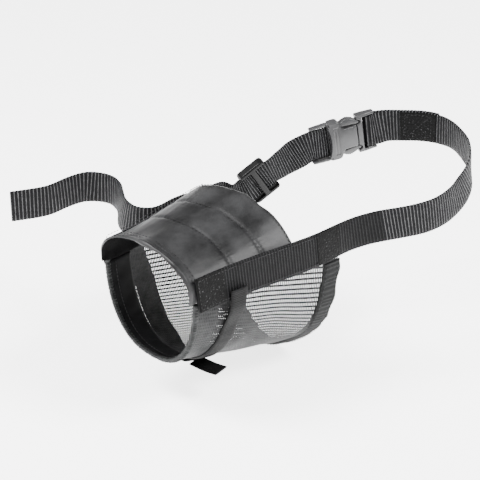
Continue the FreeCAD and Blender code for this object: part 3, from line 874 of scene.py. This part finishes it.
tab_track = Track([(mid[0], hi[1], mid[2], 0), (mid[0] + 0.8, mid[1] + 3, mid[2] - 0.3, 0),
                   (mid[0] + 1.6, mid[1] - 3, mid[2] - 0.3, 0), (mid[0] + 2.6, lo[1], mid[2] + 0.2, 0)])
u = np.linspace(0, tab_track.end, 44)
p, t, w, n = tab_track.at(u)
v = ACROSS * TAB_HALF
side = np.cross(t, np.array([0, 0, 1.0]))
place = p[:, None] + side[:, None] * v[None, :, None]
lift = (0.30 + 0.26 * (1 - np.abs(ACROSS) ** 8))[None, :] + (0.05 * np.cos(u * 2 * np.pi / 1.1))[:, None]
up = np.array([0, 0, 1.0])
tab = slab("chin_pull_tab", place + up * lift[..., None], place - up * lift[..., None],
           np.stack(np.broadcast_arrays(u[:, None], v[None, :]), -1), WEB_NARROW)
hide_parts("chin_strap_tab")
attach(tab, "chin_tab")

# ---- moulded plastic ----------------------------------------------------------------------------
BUCKLE_AT = np.array([59.7, 6.7, 44.0])
BUCKLE_DIR = np.array([0.8992, -0.4142, 0.1412])
SLIDER_AT = np.array([10.5, 29.2, 23.5])
SLIDER_DIR = np.array([0.766, -0.336, 0.547])
SLIDER_LEAN = -12.0


def axes_of(direction, lean):
    """Rows: along, width and face directions, as in the CAD."""
    t = direction / np.linalg.norm(direction)
    up = np.array([0, 0, 1.0]) - t * t[2]
    up /= np.linalg.norm(up)
    a = math.radians(lean)
    w = up * math.cos(a) + np.cross(up, t) * math.sin(a)
    return np.stack([t, w, np.cross(t, w)])


VOXEL = 0.32            # grid the mouldings are grown on
SOFT_PASSES = 5


def moulded(name, node, mat, origin, axes, form, body):
    """Soft-edged moulding grown from the CAD solid; form(t, w, n) gives its crowned surface."""
    piece = bpy.data.objects.new(name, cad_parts[node].data.copy())
    bpy.context.scene.collection.objects.link(piece)
    grid = piece.modifiers.new("grid", "REMESH")
    grid.mode = "VOXEL"
    grid.voxel_size = VOXEL * MM
    soft = piece.modifiers.new("soft", "SMOOTH")
    soft.factor = 0.5
    soft.iterations = SOFT_PASSES
    dep = bpy.context.evaluated_depsgraph_get()
    mesh = bpy.data.meshes.new_from_object(piece.evaluated_get(dep))
    piece.modifiers.clear()
    co = np.empty(len(mesh.vertices) * 3)
    mesh.vertices.foreach_get("co", co)
    local = (co.reshape(-1, 3) / MM - origin) @ axes.T
    local = np.stack(form(*local.T), -1)
    mesh.vertices.foreach_set("co", ((origin + local @ axes) * MM).ravel())
    mesh.materials.clear()
    mesh.materials.append(mat)
    mesh.polygons.foreach_set("use_smooth", [True] * len(mesh.polygons))
    mesh.update()
    piece.data = mesh
    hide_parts(node)
    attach(piece, body)
    return piece


def socket_form(t, w, n):
    """Thin upper rail, crowned body, rear edge of the body hollowed in plan."""
    rail = (np.abs(w) > 10.5) & (t < -9.2)
    n = np.where(rail & (w > 0), 0.2 + (n - 0.2) * 0.5, n)
    n = np.where(rail & (w < 0), n * 0.85, n)
    body = ramp((t + 11.2) / 1.2)
    crown_n = 1.0 - body * (0.24 * (w / 12.6) ** 2 + 0.12 * ((t + 1.0) / 10.0) ** 2)
    hollow = 1.5 * np.clip(1 - (w / 11.0) ** 2, 0, 1) * ramp((-6.0 - t) / 4.0) * ramp((t + 12.0) / 1.0)
    grip = 0.28 * np.exp(-((t + 6.2) / 0.7) ** 2) + 0.28 * np.exp(-((t + 4.4) / 0.7) ** 2)
    n = n * crown_n - np.sign(n) * grip * body * (np.abs(n) > 2.9) * (np.abs(w) < 9.0)
    return t + hollow, w, n


def plug_form(t, w, n):
    """Frame of the plug, thinner towards the webbing."""
    thin = 1.0 - 0.25 * ramp((t - 12.5) / 7.0)
    return t, w, n * thin * (1.0 - 0.15 * (w / 12.5) ** 4)


def arm_form(t, w, n):
    """Latch arms, rounded over and ridged for the thumb."""
    grip = 0.16 * np.sin(t * 2 * np.pi / 1.3) * np.exp(-((t - 3.0) / 2.6) ** 2)
    out = np.abs(w)
    rounded = n * (1.0 - 0.25 * ramp((out - 8.5) / 3.5) ** 2)
    return t, np.sign(w) * (out + grip * ramp((out - 10.0) / 1.0)), rounded


def slider_form(t, w, n):
    """Flatter frame with round corners."""
    corner_t, corner_w, radius = 6.0, 10.2, 3.1
    n = np.where(n < 0, n * 0.80, n * 0.78)
    a, b = np.abs(t) - corner_t, np.abs(w) - corner_w
    d = np.hypot(np.maximum(a, 0), np.maximum(b, 0))
    k = np.where((a > 0) & (b > 0) & (d > radius), radius / np.maximum(d, 1e-6), 1.0)
    t = np.where(k < 1, np.sign(t) * (corner_t + a * k), t)
    w = np.where(k < 1, np.sign(w) * (corner_w + b * k), w)
    return t, w, n * (1.0 - 0.06 * (w / 13.0) ** 4)


buckle_axes = axes_of(BUCKLE_DIR, 0.0)
for name, node, form, body in (("socket_moulding", "buckle_socket", socket_form, "neck_loop"),
                               ("plug_moulding", "buckle_plug", plug_form, "plug_half"),
                               ("upper_latch_arm", "latch_arm_upper", arm_form, "latch_upper"),
                               ("lower_latch_arm", "latch_arm_lower", arm_form, "latch_lower")):
    moulded(name, node, BUCKLE, BUCKLE_AT, buckle_axes, form, body)
moulded("slider_moulding", "slider", SLIDER, SLIDER_AT, axes_of(SLIDER_DIR, SLIDER_LEAN),
        slider_form, "strap_slider")

# ---- stage, light, camera -----------------------------------------------------------------------
FLOOR_HALF = 3.0
FLOOR_GLOW = 3.2
WORLD_LIGHT = 0.55
floor_z = cad_box[0][2] - 0.0005
corners = [(x * FLOOR_HALF, y * FLOOR_HALF, floor_z) for x, y in ((-1, -1), (1, -1), (1, 1), (-1, 1))]
floor = bpy.data.meshes.new("floor")
floor.from_pydata(corners, [], [(0, 1, 2, 3)])
floor_obj = bpy.data.objects.new("floor", floor)
bpy.context.scene.collection.objects.link(floor_obj)
m = Nodes("floor_paper")
paper = m.ramp(m.noise(3.0), [(0.3, (0.93, 0.93, 0.93)), (0.7, (0.95, 0.95, 0.95))])
floor.materials.append(m.done(Base_Color=paper, Roughness=0.9, Emission_Color=(1.0, 1.0, 1.0, 1.0),
                              Emission_Strength=FLOOR_GLOW))

world = bpy.data.worlds.new("studio")
world.use_nodes = True
world.node_tree.nodes["Background"].inputs[0].default_value = (1.0, 1.0, 1.0, 1.0)
world.node_tree.nodes["Background"].inputs[1].default_value = WORLD_LIGHT
bpy.context.scene.world = world


def area(name, place, target, size, power):
    """Square area light aimed at a target."""
    light = bpy.data.lights.new(name, "AREA")
    light.size = size
    light.energy = power
    o = bpy.data.objects.new(name, light)
    bpy.context.scene.collection.objects.link(o)
    o.location = place
    o.rotation_euler = (Vector(target) - Vector(place)).to_track_quat("-Z", "Y").to_euler()


area("key", (0.35, -0.75, 0.95), (0, 0, 0), 0.4, 30)
area("top", (-0.55, 0.35, 0.85), (0, 0, 0), 0.4, 24)

cam = bpy.data.cameras.new("camera")
cam.lens = 135.0
cam.sensor_width = 36.0
cam_obj = bpy.data.objects.new("camera", cam)
bpy.context.scene.collection.objects.link(cam_obj)
right = Vector((0.7133, -0.7009, 0))
up_v = Vector((0.3345, 0.3404, 0.8788))
back = Vector((-0.6160, -0.6268, 0.4772))
rot = Matrix((right, up_v, back)).transposed().to_4x4()
cam_obj.matrix_world = Matrix.Translation((-0.6736, -0.6507, 0.5070)) @ rot
bpy.context.scene.camera = cam_obj
